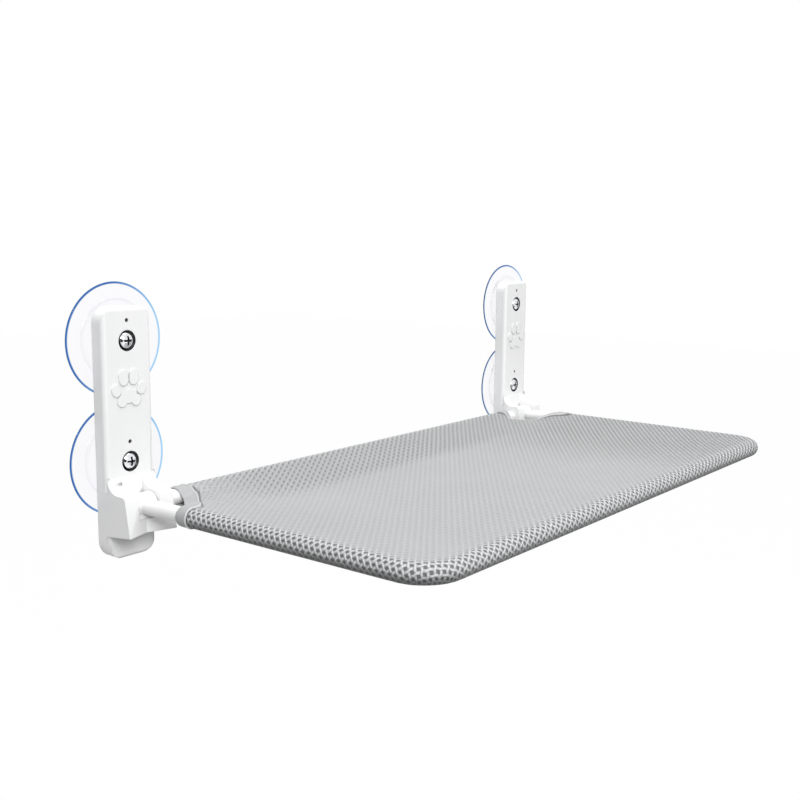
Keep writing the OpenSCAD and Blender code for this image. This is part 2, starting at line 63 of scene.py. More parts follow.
def aimCamera():
    # it looks along yaw and pitch, then leans by roll about its own line of sight
    yaw, pitch, roll = camera["yaw"], camera["pitch"], camera["roll"]
    forward = Vector((math.sin(yaw) * math.cos(pitch), math.cos(yaw) * math.cos(pitch), math.sin(pitch)))
    right = Vector((math.cos(yaw), -math.sin(yaw), 0))
    up = right.cross(forward)
    right, up = (right * math.cos(roll) + up * math.sin(roll), up * math.cos(roll) - right * math.sin(roll))
    data = bpy.data.cameras.new("photoCamera")
    data.sensor_width = camera["sensor"]
    data.lens = camera["focal"] * camera["sensor"]
    data.clip_start = 0.01
    eye = bpy.data.objects.new("photoCamera", data)
    turn = Matrix((right, up, -forward)).transposed().to_4x4()
    eye.matrix_world = Matrix.Translation(camera["eye"]) @ turn
    bpy.context.scene.collection.objects.link(eye)
    bpy.context.scene.camera = eye


aimCamera()

# node helpers


def startMaterial(name):
    mat = bpy.data.materials.new(name)
    mat.use_nodes = True
    tree = mat.node_tree
    tree.nodes.clear()
    out = tree.nodes.new("ShaderNodeOutputMaterial")
    shader = tree.nodes.new("ShaderNodeBsdfPrincipled")
    tree.links.new(shader.outputs["BSDF"], out.inputs["Surface"])
    return mat, tree, shader


def put(tree, value, socket):
    # a number or colour is set on the socket, an output is linked to it
    if isinstance(value, bpy.types.NodeSocket):
        tree.links.new(value, socket)
    else:
        socket.default_value = value


def reckon(tree, operation, *values):
    node = tree.nodes.new("ShaderNodeMath")
    node.operation = operation
    for socket, value in zip(node.inputs, values):
        put(tree, value, socket)
    return node.outputs[0]


def blendColour(tree, amount, first, second):
    # sockets 0, 6 and 7 of a colour mix take the amount and the two colours
    node = tree.nodes.new("ShaderNodeMix")
    node.data_type = "RGBA"
    put(tree, amount, node.inputs[0])
    put(tree, first, node.inputs[6])
    put(tree, second, node.inputs[7])
    return node.outputs[2]


def product(tree, first, second):
    return reckon(tree, "MULTIPLY", first, second)


def rest(tree, value):
    # what is left of 1
    return reckon(tree, "SUBTRACT", 1.0, value)


def greatest(tree, value, *others):
    for other in others:
        value = reckon(tree, "MAXIMUM", value, other)
    return value


def stretch(tree, value, low, high):
    # 0 below low, 1 above high, eased at both ends
    node = tree.nodes.new("ShaderNodeMapRange")
    node.interpolation_type = "SMOOTHSTEP"
    put(tree, value, node.inputs["Value"])
    node.inputs["From Min"].default_value = low
    node.inputs["From Max"].default_value = high
    return node.outputs[0]


def objectPlace(tree):
    return tree.nodes.new("ShaderNodeTexCoord").outputs["Object"]


def clothPlace(tree, uvMap):
    # the place on the flat cloth
    cloth = tree.nodes.new("ShaderNodeUVMap")
    cloth.uv_map = uvMap
    split = tree.nodes.new("ShaderNodeSeparateXYZ")
    put(tree, cloth.outputs["UV"], split.inputs[0])
    return split.outputs["X"], split.outputs["Y"]


def noted(tree, name):
    # a value that the mesh carries at each vertex
    node = tree.nodes.new("ShaderNodeAttribute")
    node.attribute_name = name
    return node.outputs["Fac"]


def mottle(tree, place, scale, detail):
    node = tree.nodes.new("ShaderNodeTexNoise")
    put(tree, place, node.inputs["Vector"])
    node.inputs["Scale"].default_value = scale
    node.inputs["Detail"].default_value = detail
    return node.outputs["Fac"]


def relief(tree, shader, height, depth, strength, rounding=0.0):
    # bumps of the given depth, on edges that look rounded where a rounding is given
    node = tree.nodes.new("ShaderNodeBump")
    node.inputs["Strength"].default_value = strength
    node.inputs["Distance"].default_value = depth
    put(tree, height, node.inputs["Height"])
    if rounding:
        soft = tree.nodes.new("ShaderNodeBevel")
        soft.samples = 6
        soft.inputs["Radius"].default_value = rounding
        put(tree, soft.outputs["Normal"], node.inputs["Normal"])
    put(tree, node.outputs["Normal"], shader.inputs["Normal"])


# the cup screws, which the brackets' finish also follows

screw = {
    "across": 0.2795,      # axes from the middle of the perch
    "up": 0.0475,
    "head": 0.0075,        # radius of the dome
    "rise": 0.0044,
    "seat": 0.014,         # underside of the head from the glass
    "recess": 0.00826,     # just past the wall of the round recess
    "front": 0.0162,       # just behind the bracket's face
    "bright": (0.88, 0.89, 0.91, 1),
    "dull": (0.74, 0.75, 0.78, 1),
    "paintedShadow": (0.015, 0.015, 0.018, 1),
}


def fromScrew(tree, place, shift=0.0):
    # distance from the nearest cup screw's axis, or from a line shifted right and up of it
    split = tree.nodes.new("ShaderNodeSeparateXYZ")
    put(tree, place, split.inputs[0])
    parts = []
    for axis, reach in (("X", screw["across"]), ("Z", screw["up"])):
        value = split.outputs[axis]
        middle = reckon(tree, "MULTIPLY_ADD", reckon(tree, "SIGN", value), reach, shift)
        parts.append(reckon(tree, "SUBTRACT", value, middle))
    square = reckon(tree, "MULTIPLY_ADD", parts[0], parts[0], product(tree, parts[1], parts[1]))
    return reckon(tree, "SQRT", square), split.outputs["Y"]


# colours of painted shade: in crevices found by ambient occlusion, and in the screws' recesses
paintedShade = {
    "crevice": (0.07, 0.07, 0.073, 1),
    "recess": (0.03, 0.03, 0.033, 1),   # round the screws, with their shadow
}


def mottled(name, light, dark, roughness, grain, depth, edge=0.0, crevice=0.0, **extra):
    # a moulded, coated or metal finish: cloudy colour, uneven gloss, a fine grain, and painted shade in
    # crevices
    mat, tree, shader = startMaterial(name)
    place = objectPlace(tree)
    cloud = mottle(tree, place, 22.0, 4.0)
    colour = blendColour(tree, stretch(tree, cloud, 0.3, 0.7), dark, light)
    if crevice:
        # painted shade: the colour darkens where ambient occlusion finds a crevice
        hidden = tree.nodes.new("ShaderNodeAmbientOcclusion")
        hidden.samples = 8
        hidden.inputs["Distance"].default_value = crevice
        lit = stretch(tree, hidden.outputs["AO"], 0.08, 0.6)
        colour = blendColour(tree, lit, paintedShade["crevice"], colour)
        # painted shadow: the wall and floor of the screws' recesses are painted black
        radius, y = fromScrew(tree, place)
        inside = product(tree, reckon(tree, "LESS_THAN", radius, screw["recess"]),
                         reckon(tree, "GREATER_THAN", y, -screw["front"]))
        colour = blendColour(tree, inside, colour, paintedShade["recess"])
    put(tree, colour, shader.inputs["Base Color"])
    gloss = mottle(tree, place, 60.0, 3.0)
    put(tree, reckon(tree, "MULTIPLY_ADD", gloss, 0.12, roughness - 0.06), shader.inputs["Roughness"])
    relief(tree, shader, mottle(tree, place, grain, 2.0), depth, 0.5, edge)
    for socket, value in extra.items():
        shader.inputs[socket.replace("_", " ")].default_value = value
    return mat


finishes = {
    "moulded_plastic": mottled("whitePlastic", (0.88, 0.882, 0.882, 1), (0.86, 0.863, 0.865, 1), 0.36, 1500.0,
                               0.00003, edge=0.001, crevice=0.006, Coat_Weight=0.12, Coat_Roughness=0.25),
    "insert_brass": mottled("turnedBrass", (0.78, 0.6, 0.27, 1), (0.7, 0.53, 0.22, 1), 0.3, 1800.0, 0.00002,
                            Metallic=1.0),
    "white_powder_coat": mottled("powderCoat", (0.89, 0.89, 0.89, 1), (0.87, 0.87, 0.875, 1), 0.33, 1100.0,
                                 0.00005, Coat_Weight=0.2, Coat_Roughness=0.2),
    "nylon": mottled("nylonMoulding", (0.82, 0.82, 0.81, 1), (0.79, 0.79, 0.785, 1), 0.42, 1400.0, 0.00004,
                     edge=0.0008),
    "zinc_steel": mottled("zincSteel", (0.55, 0.56, 0.58, 1), (0.45, 0.46, 0.48, 1), 0.34, 1600.0, 0.00002,
                          Metallic=1.0),
}


def screwChrome():
    # bright dome, with black painted shadow in the gap round its rim and in the cross. The cross is what lies
    # under the dome's sphere, and the gap follows the radius from the screw's axis
    head, rise = screw["head"], screw["rise"]
    mat, tree, shader = startMaterial("brightChrome")
    place = objectPlace(tree)
    radius, out = fromScrew(tree, place)
    dome = (head * head + rise * rise) / (2 * rise)
    bulge = reckon(tree, "SQRT", reckon(tree, "SUBTRACT", dome * dome, product(tree, radius, radius)))
    skin = reckon(tree, "SUBTRACT", dome - rise - screw["seat"], bulge)
    sunk = stretch(tree, reckon(tree, "SUBTRACT", out, skin), 0.0002, 0.0008)
    rim = stretch(tree, fromScrew(tree, place, 0.0008)[0], head * 0.88, head * 0.97)
    # painted shadow: black in the cross and in the rim's gap, thicker low on the left
    paintedShadow = greatest(tree, sunk, rim)
    cloud = mottle(tree, place, 300.0, 3.0)
    bright = blendColour(tree, cloud, screw["dull"], screw["bright"])
    put(tree, blendColour(tree, paintedShadow, bright, screw["paintedShadow"]), shader.inputs["Base Color"])
    put(tree, reckon(tree, "MULTIPLY_ADD", paintedShadow, 0.35, 0.1), shader.inputs["Roughness"])
    shader.inputs["Metallic"].default_value = 1.0
    relief(tree, shader, mottle(tree, place, 500.0, 2.0), 0.00003, 0.4)
    return mat


finishes["screw_chrome"] = screwChrome()
for node in frame["record"]["subparts"]:
    if node["material_slot"] in finishes:
        mesh = nodes[node["node"]].data
        mesh.materials.clear()
        mesh.materials.append(finishes[node["material_slot"]])
print("rigid finishes set")

# mesh helpers


def ringFaces(rows, count):
    # four-sided faces between the rows of a grid whose rows are closed rings, with the grid's own numbers
    grid = np.arange(rows * count).reshape(rows, count)
    after = np.roll(grid, -1, 1)
    return grid, np.stack([grid[:-1], grid[1:], after[1:], after[:-1]], 2).reshape(-1, 4)


def layUv(mesh, name, places):
    # the place on the flat cloth of each vertex
    index = np.empty(len(mesh.loops), np.int32)
    mesh.loops.foreach_get("vertex_index", index)
    mesh.uv_layers.new(name=name).data.foreach_set("uv", places[index].astype(np.float32).ravel())


def noteValues(mesh, name, values):
    mesh.attributes.new(name, "FLOAT", "POINT").data.foreach_set("value", values.astype(np.float32))


def faceOutward(mesh):
    work = bmesh.new()
    work.from_mesh(mesh)
    bmesh.ops.recalc_face_normals(work, faces=work.faces)
    work.to_mesh(mesh)
    work.free()


def smoothPiece(name, mesh, finish):
    for face in mesh.polygons:
        face.use_smooth = True
    mesh.materials.append(finish)
    piece = bpy.data.objects.new(name, mesh)
    bpy.context.scene.collection.objects.link(piece)
    return piece


# rigid pieces: smooth copies of the frame's solids

crisp = math.radians(32)   # a sharper edge than this stays an edge


def smoothCopy(name, body, slot):
    # the node's triangles are merged, flat areas joined, and every edge softer than crisp shaded smooth
    mesh = nodes[name].data.copy()
    mesh.name = name
    work = bmesh.new()
    work.from_mesh(mesh)
    bmesh.ops.remove_doubles(work, verts=work.verts, dist=2e-6)
    bmesh.ops.dissolve_limit(work, angle_limit=math.radians(0.6), verts=work.verts, edges=work.edges)
    work.to_mesh(mesh)
    work.free()
    mesh.materials.clear()
    mesh.set_sharp_from_angle(angle=crisp)
    piece = smoothPiece(name + ".soft", mesh, finishes[slot])
    even = piece.modifiers.new("evenNormals", "WEIGHTED_NORMAL")
    even.mode = "FACE_AREA"
    even.weight = 80
    even.keep_sharp = True
    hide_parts(name)
    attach(piece, body)


rigid = {
    "left_bracket": ("wall_brackets", "moulded_plastic"),
    "right_bracket": ("wall_brackets", "moulded_plastic"),
    "left_upper_cup_screw": ("wall_brackets", "screw_chrome"),
    "left_lower_cup_screw": ("wall_brackets", "screw_chrome"),
    "right_upper_cup_screw": ("wall_brackets", "screw_chrome"),
    "right_lower_cup_screw": ("wall_brackets", "screw_chrome"),
    "left_hinge_knuckle": ("folding_frame", "nylon"),
    "right_hinge_knuckle": ("folding_frame", "nylon"),
    "left_side_tube": ("folding_frame", "white_powder_coat"),
    "right_side_tube": ("folding_frame", "white_powder_coat"),
    "rear_crossbar": ("folding_frame", "white_powder_coat"),
    "front_tube": ("folding_frame", "white_powder_coat"),
}
for name, (body, slot) in rigid.items():
    smoothCopy(name, body, slot)
print("rigid pieces dressed")

# suction cups

cup = {
    "rim": 0.045,        # outer radius
    "bead": 0.0005,      # radius of its rounded edge
    "ring": 0.031,       # radius of the raised ring behind the bracket
    "ringHalf": 0.0016,  # half its width
    "ringRise": 0.0008,
    "turns": 144,        # points round the cup
    "clear": (0.968, 0.966, 0.984, 1),
    # painted shade: a faint grey line on top of the raised ring
    "faint": (0.83, 0.83, 0.88, 1),   # line on top of the raised ring
    # the blue edge is painted for light bent through the rim: darker as painted shade on the left, paler as
    # painted light on the right
    "dark": (0.03, 0.14, 0.45, 1),    # edge tint on the left
    "pale": (0.34, 0.63, 0.95, 1),    # edge tint on the right
}


def clearVinyl():
    # clear, with a faint painted shade line on the raised ring and a blue edge painted for light bent through
    # the rim, which pales from painted shade on the left to painted light on the right
    mat, tree, shader = startMaterial("clearVinyl")
    radius = noted(tree, "fromCentre")
    edge = stretch(tree, radius, cup["rim"] - 0.0021, cup["rim"] - 0.0013)
    offRing = reckon(tree, "ABSOLUTE", reckon(tree, "SUBTRACT", radius, cup["ring"] + 0.0004))
    faint = rest(tree, stretch(tree, offRing, 0.0003, 0.0012))
    body = blendColour(tree, product(tree, faint, 0.6), cup["clear"], cup["faint"])
    tint = blendColour(tree, stretch(tree, noted(tree, "brightSide"), -0.7, 0.9), cup["dark"], cup["pale"])
    put(tree, blendColour(tree, edge, body, tint), shader.inputs["Base Color"])
    shader.inputs["Roughness"].default_value = 0.04
    shader.inputs["IOR"].default_value = 1.25
    shader.inputs["Transmission Weight"].default_value = 1.0
    relief(tree, shader, mottle(tree, objectPlace(tree), 90.0, 2.0), 0.0002, 0.25)
    return mat


finishes["clear_pvc"] = clearVinyl()


def suctionCup(name, x, z):
    # a profile of (radius, distance from the glass) turned about the cup's own axis: out along the neck, over
    # the raised ring, down the skirt and round the bead, then back in along the hollow side
    rim, bead, ring, wide = cup["rim"], cup["bead"], cup["ring"], cup["ringHalf"]
    half = np.linspace(-0.5, 0.5, 9) * np.pi
    edge = np.stack([rim - bead + bead * np.cos(half), bead + bead * np.sin(half)], 1)
    swell = np.linspace(np.pi, 0, 9)
    hump = np.stack([ring + wide * np.cos(swell), 0.0022 + cup["ringRise"] * np.sin(swell)], 1)
    hump[:, 1] += 0.0001 * np.cos(swell)
    slope = np.linspace(0, 1, 10)[1:-1]
    skirt = np.stack([ring + wide + (rim - wide - ring) * slope, 0.0021 - 0.0012 * slope ** 0.8], 1)
    under = np.array([[rim - 0.0008, 0.0], [rim - 0.004, 0.0], [rim - 0.006, 0.0001], [ring + 0.004, 0.0007],
                      [ring, 0.0009], [0.02, 0.0011], [0.008, 0.0012]])
    neck = np.array([[0.0068, 0.0088], [0.0112, 0.0088], [0.0118, 0.0086], [0.012, 0.0082], [0.012, 0.0042],
                     [0.0122, 0.0037], [0.0128, 0.0032], [0.022, 0.0031], [0.0265, 0.0028]])
    profile = np.concatenate([neck, hump, skirt, edge[::-1], under])
    turns = cup["turns"]
    angle = np.arange(turns) * 2 * np.pi / turns
    radius = profile[:, 0][:, None]
    points = np.stack([x + radius * np.cos(angle), -np.repeat(profile[:, 1][:, None], turns, 1),
                       z + radius * np.sin(angle)], 2)
    rows = len(profile)
    centre = [[x, -profile[0, 1], z], [x, -profile[-1, 1], z]]
    grid, quads = ringFaces(rows, turns)
    first = np.stack([np.full(turns, rows * turns), grid[0], np.roll(grid[0], -1)], 1)
    last = np.stack([np.full(turns, rows * turns + 1), np.roll(grid[-1], -1), grid[-1]], 1)
    mesh = bpy.data.meshes.new(name)
    mesh.from_pydata(np.concatenate([points.reshape(-1, 3), centre]).tolist(), [],
                     quads.tolist() + first.tolist() + last.tolist())
    noteValues(mesh, "fromCentre", np.append(np.repeat(profile[:, 0], turns), [0, 0]))
    # share of painted light on the blue edge, from -1 on the left to 1 on the right
    noteValues(mesh, "brightSide", np.append(np.tile(np.cos(angle + math.radians(25)), rows), [0, 0]))
    piece = smoothPiece(name + ".clear", mesh, finishes["clear_pvc"])
    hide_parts(name)
    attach(piece, "wall_brackets")


for side, x in (("left", -screw["across"]), ("right", screw["across"])):
    for level, z in (("upper", screw["up"]), ("lower", -screw["up"])):
        suctionCup(side + "_" + level + "_suction_cup", x, z)
print("suction cups done")

# cloth: flat cuts rolled onto the tubes

perch = {
    "halfWidth": 0.2795,   # side tubes from the middle
    "rearY": -0.027,       # crossbar's axis
    "depth": 0.284,        # crossbar to front tube
    "bend": 0.0265,        # front corners
    "tubeZ": -0.0809,
    "roll": 0.00765,       # outside radius of the rolled cloth
    "flap": 0.020,         # flap under the side and front tubes
    "rearFlap": 0.032,
    "thickness": 0.0009,
    "sag": 0.004,          # dish in the middle, reached this far from the tubes
    "sagReach": 0.13,
    "droop": (0.0082, 0.0096),   # free edge of the left and right rear corners, fading over this reach
    "droopReach": 0.022,
    "fold": 0.00035,       # faint pulled folds beside that edge
    "cutSide": 0.003,      # rear corners' cut-out: from the side tube, along the crossbar, and fore and aft
    "cutBar": 0.036,
    "cutDeep": 0.051,
    "cutBack": 0.010,
    "cutLean": math.tan(math.radians(12)),
    "spine": 0.14,         # half of the middle line on which the rows of the cloth close
}
# the same lengths as places on the flat cloth
sideWrap = math.pi * perch["roll"] + perch["flap"]
rearWrap = math.pi * perch["roll"] + perch["rearFlap"]
cutY = perch["rearY"] - perch["cutDeep"]
barX, barY = perch["halfWidth"] - perch["cutBar"], perch["rearY"] - perch["cutBack"]
frontY = perch["rearY"] - perch["depth"]
middleY = perch["rearY"] - perch["depth"] / 2
spineLeft, spineRight = (-perch["spine"], middleY), (perch["spine"], middleY)


def smooth(value, low, high):
    # 0 below low, 1 above high, eased by 3 t squared less 2 t cubed
    t = np.clip((value - low) / (high - low), 0, 1)
    return t * t * (3 - 2 * t)


def rollOn(flat, lift):
    # inside the tubes' outline the cloth lies flat and dished; past it, each point goes round the tube by the
    # distance it lies outside, and past half a turn it runs back inwards underneath
    x, y = flat[..., 0], flat[..., 1] - middleY
    roll = perch["roll"]
    corner = np.where(y < 0, perch["bend"], 0.0)
    qx = np.abs(x) - perch["halfWidth"] + corner
    qy = np.abs(y) - perch["depth"] / 2 + corner
    outX, outY = np.maximum(qx, 0), np.maximum(qy, 0)
    length = np.hypot(outX, outY)
    away = length + np.minimum(np.maximum(qx, qy), 0) - corner
    inBend = (qx > 0) & (qy > 0)
    safe = np.where(length > 0, length, 1)
    nx = np.where(inBend, outX / safe, np.where(qx > qy, 1.0, 0.0)) * np.sign(x)
    ny = np.where(inBend, outY / safe, np.where(qx > qy, 0.0, 1.0)) * np.sign(y)
    past = np.maximum(away, 0)
    turn = np.minimum(past / roll, np.pi)
    tail = np.maximum(past - np.pi * roll, 0)
    reach = (roll + lift) * np.sin(turn) - tail
    z = perch["tubeZ"] + (roll + lift) * np.cos(turn)
    inside = np.maximum(-away, 0)
    z = z - perch["sag"] * (1 - (1 - np.minimum(inside / perch["sagReach"], 1)) ** 2)
    # the unheld edge between side tube and crossbar hangs lower, and pulls faint folds into the cloth
    ax, ay = perch["halfWidth"] - perch["cutSide"], cutY
    dx, dy = barX - ax, perch["rearY"] - ay
    size = math.hypot(dx, dy)
    px, py = np.abs(x) - ax, y + middleY - ay
    along = np.clip((px * dx + py * dy) / size ** 2, 0, 1)
    off = np.abs(px * dy - py * dx) / size
    edge = 1 - (1 - np.sin(np.pi * along ** 2.2)) ** 2.5
    hang = edge * np.exp(-np.maximum(off - 0.005, 0) / perch["droopReach"]) * smooth(inside, 0.002, 0.0115)
    z = z - np.where(x > 0, perch["droop"][1], perch["droop"][0]) * hang
    fold = np.sin(off * 420 + 6 * along) * np.exp(-off / 0.05) * smooth(inside, 0.006, 0.03)
    z = z - perch["fold"] * fold
    return np.stack([x - nx * past + nx * reach, y + middleY - ny * past + ny * reach, z], -1), away


def leaned(path):
    # the cut's edge leans towards the bracket by the distance it has run past the kink, seen from above
    roll = perch["roll"]
    past = np.maximum(path[:, 1] - perch["rearY"], 0)
    above = roll * np.sin(np.minimum(past / roll, np.pi)) - np.maximum(past - np.pi * roll, 0)
    beyond = np.maximum(path[:, 1] - past + above - perch["rearY"] + perch["cutBack"], 0)
    return np.stack([path[:, 0] + np.sign(path[:, 0]) * perch["cutLean"] * beyond, path[:, 1]], 1)


def nestedSheet(name, outline, targets, steps, shape, material):
    # rows of the cut's outline, each moved a share of the way towards its target on the middle line
    share = (steps / steps[-1])[:, None, None]
    flat = outline[None] + (targets[None] - outline[None]) * share
    points, away = shape(flat)
    quads = ringFaces(*flat.shape[:2])[1][:, [0, 3, 2, 1]]
    mesh = bpy.data.meshes.new(name)
    mesh.from_pydata(points.reshape(-1, 3).tolist(), [], quads.tolist())
    layUv(mesh, "cloth", flat.reshape(-1, 2))
    noteValues(mesh, "fromTube", away.ravel())
    work = bmesh.new()
    work.from_mesh(mesh)
    bmesh.ops.remove_doubles(work, verts=work.verts, dist=1e-6)
    bmesh.ops.dissolve_degenerate(work, edges=work.edges, dist=1e-7)
    work.to_mesh(mesh)
    work.free()
    piece = smoothPiece(name, mesh, material)
    thick = piece.modifiers.new("clothThickness", "SOLIDIFY")
    thick.thickness = perch["thickness"]
    thick.offset = -1
    nextPoint = np.roll(outline, -1, 0)
    area = 0.5 * abs(np.sum(outline[:, 0] * nextPoint[:, 1] - nextPoint[:, 0] * outline[:, 1]))
    return piece, float(area)


def line(start, end, count):
    # even points from start on, without the end
    t = np.arange(count)[:, None] / count
    return np.array(start) + (np.array(end) - np.array(start)) * t


def arc(x, y, radius, begin, finish, count):
    # even points on a round, without the last
    t = begin + (finish - begin) * np.arange(count) / count
    return np.stack([x + radius * np.cos(t), y + radius * np.sin(t)], 1)


def cutDistance(tree, x, y):
    # distance on the flat cloth from a rear corner's cut-out: the greatest of those from its three edges
    wide = reckon(tree, "ABSOLUTE", x)
    runX, runY = perch["cutBar"] - perch["cutSide"], barY - cutY
    size = math.hypot(runX, runY)
    front = reckon(tree, "SUBTRACT", cutY, y)
    slant = reckon(tree, "ADD", product(tree, reckon(tree, "SUBTRACT", barX, wide), runY / size),
                   product(tree, reckon(tree, "SUBTRACT", barY, y), runX / size))
    edgeX = reckon(tree, "MULTIPLY_ADD", reckon(tree, "SUBTRACT", y, barY), perch["cutLean"], barX)
    rear = reckon(tree, "SUBTRACT", edgeX, wide)
    return greatest(tree, front, slant, rear)


knit = {
    "across": 0.0074,      # one diamond of the net
    "down": 0.0054,
    "strand": 0.29,        # half a strand's width, as a share of the distance between strands
    "sway": 0.05,          # the same share, across the other strands
    "crimp": 0.22,         # how far a strand dips where it passes under, as a share of its height
    "relief": 0.0015,
    "light": (0.49, 0.499, 0.508, 1),
    "dark": (0.355, 0.361, 0.368, 1),
    "paintedShine": (0.86, 0.865, 0.87, 1),        # painted highlight on the yarn's crowns over a tube
    # painted shade seen through the knit's holes
    "gap": (0.09, 0.091, 0.094, 1),
    # painted shade on yarn and gaps along the lower edge
    "shadedYarn": (0.13, 0.132, 0.136, 1),       # yarn and gaps along the lower edge
    "shadedGap": (0.012, 0.012, 0.013, 1),
    "barBand": (-0.122, -0.086),           # y where the ovals by the crossbar begin, and where they are full
    "barStart": (-0.25, -0.16),            # x likewise
    "pressed": 0.0118,                     # dark line along the binding, from the cut
    "slack": 0.003,                        # how far it widens on the right
}


def strandWave(tree, value, angle):
    return reckon(tree, "SINE", product(tree, value, angle))


def openKnit():
    # two families of slanting strands, (x / across) + and - (y / down), each swaying a little across the
    # other, with a gap in every diamond between them; the gaps stand open on the tubes and along the crossbar
    mat, tree, shader = startMaterial("openKnit")
    x, y = clothPlace(tree, "cloth")
    place = objectPlace(tree)
    wander = reckon(tree, "MULTIPLY_ADD", mottle(tree, place, 45.0, 3.0), 0.5, -0.25)
    u = reckon(tree, "MULTIPLY_ADD", x, 1 / knit["across"], wander)
    v = reckon(tree, "MULTIPLY_ADD", y, 1 / knit["down"], product(tree, wander, 0.6))
    first, second = reckon(tree, "ADD", u, v), reckon(tree, "SUBTRACT", u, v)
    # a strand of each family is a round ridge, 1 on its middle line, and they pass over and under in turn
    weave = product(tree, strandWave(tree, first, math.pi), strandWave(tree, second, math.pi))
    ridges, heights = [], []
    for way, other, crimp in ((first, second, knit["crimp"]), (second, first, -knit["crimp"])):
        swayed = reckon(tree, "MULTIPLY_ADD", strandWave(tree, other, 2 * math.pi), knit["sway"], way)
        aside = reckon(tree, "SUBTRACT", 0.5, reckon(tree, "PINGPONG", swayed, 0.5))
        offset = reckon(tree, "DIVIDE", aside, knit["strand"])
        ridge = reckon(tree, "SQRT", greatest(tree, rest(tree, product(tree, offset, offset)), 0.0))
        ridges.append(ridge)
        level = reckon(tree, "MULTIPLY_ADD", weave, crimp, 1 - knit["crimp"])
        heights.append(product(tree, ridge, level))
    net = greatest(tree, *heights)
    solid = greatest(tree, *ridges)
    # the gaps open on the tubes, beside the crossbar, towards the right side and in loose patches
    fromTube = noted(tree, "fromTube")
    onTube = stretch(tree, fromTube, -0.010, 0.004)
    alongBar = product(tree, stretch(tree, y, *knit["barBand"]), stretch(tree, x, *knit["barStart"]))
    right = product(tree, stretch(tree, x, 0.0, 0.22), 0.75)
    loose = product(tree, mottle(tree, place, 9.0, 2.0), 0.3)
    opened = greatest(tree, onTube, product(tree, alongBar, 0.8), right, loose)
    gap = rest(tree, stretch(tree, solid, 0.05, 0.75))
    gap = product(tree, gap, reckon(tree, "MULTIPLY_ADD", opened, 0.72, 0.15))
    # beside the crossbar the cloth is pulled open every third strand, which leaves ovals in each slant
    third = reckon(tree, "MULTIPLY_ADD", second, 2.0, first)
    pulled = reckon(tree, "ADD", reckon(tree, "COSINE", product(tree, second, 2 * math.pi)),
                    reckon(tree, "COSINE", product(tree, third, 2 * math.pi / 3)))
    oval = product(tree, stretch(tree, pulled, 0.5, 1.9), alongBar)
    oval = product(tree, oval, reckon(tree, "MULTIPLY_ADD", stretch(tree, x, 0.0, 0.2), -0.5, 0.85))
    gap = greatest(tree, product(tree, gap, reckon(tree, "MULTIPLY_ADD", alongBar, -0.5, 1.0)), oval)
    # towards the right side the furrows beside one family of strands are painted with shade, and show as long
    # slants
    furrow = rest(tree, stretch(tree, ridges[1], 0.1, 0.8))
    gap = greatest(tree, gap, product(tree, furrow, product(tree, right, 0.45)))
    # a shadow line where the binding's edge presses into the cloth
    slack = product(tree, stretch(tree, x, -0.05, 0.05), knit["slack"])
    past = reckon(tree, "SUBTRACT", cutDistance(tree, x, y), knit["pressed"])
    pressed = reckon(tree, "ABSOLUTE", reckon(tree, "SUBTRACT", past, slack))
    pressed = reckon(tree, "SUBTRACT", pressed, slack)
    pressed = product(tree, rest(tree, stretch(tree, pressed, 0.0004, 0.0014)), 0.8)
    gap = greatest(tree, gap, pressed)
    # twisted plies run along each strand, and a finer stitch over both
    twist = product(tree, strandWave(tree, first, 5 * math.pi), strandWave(tree, second, 5 * math.pi))
    plies = reckon(tree, "MULTIPLY_ADD", twist, 0.5, 0.5)
    fleck = mottle(tree, place, 900.0, 2.0)
    cloud = mottle(tree, place, 14.0, 4.0)
    tone = reckon(tree, "MULTIPLY_ADD", plies, 0.25,
                  reckon(tree, "MULTIPLY_ADD", fleck, 0.35, product(tree, cloud, 0.4)))
    # painted highlight: on the tubes the yarn is painted paler on top of its strands
    paintedShine = product(tree, product(tree, onTube, stretch(tree, net, 0.5, 0.95)), 0.5)
    yarn = blendColour(tree, paintedShine, blendColour(tree, tone, knit["dark"], knit["light"]), knit["paintedShine"])
    # painted shade along the lower edge, where the cloth turns under the tubes
    under = reckon(tree, "SUBTRACT", stretch(tree, fromTube, 0.0105, 0.016),
                   stretch(tree, fromTube, 0.021, 0.027))
    under = product(tree, under, 0.9)
    yarn = blendColour(tree, under, yarn, knit["shadedYarn"])
    # the knit's holes, painted dark for the shade seen through them
    hole = blendColour(tree, under, knit["gap"], knit["shadedGap"])
    put(tree, blendColour(tree, gap, yarn, hole), shader.inputs["Base Color"])
    shader.inputs["Roughness"].default_value = 0.6
    shader.inputs["Sheen Weight"].default_value = 0.2
    shader.inputs["Sheen Roughness"].default_value = 0.4
    height = product(tree, reckon(tree, "MULTIPLY_ADD", plies, 0.12, net),
                     reckon(tree, "MULTIPLY_ADD", opened, 0.75, 0.25))
    relief(tree, shader, height, knit["relief"], 1.0)
    return mat


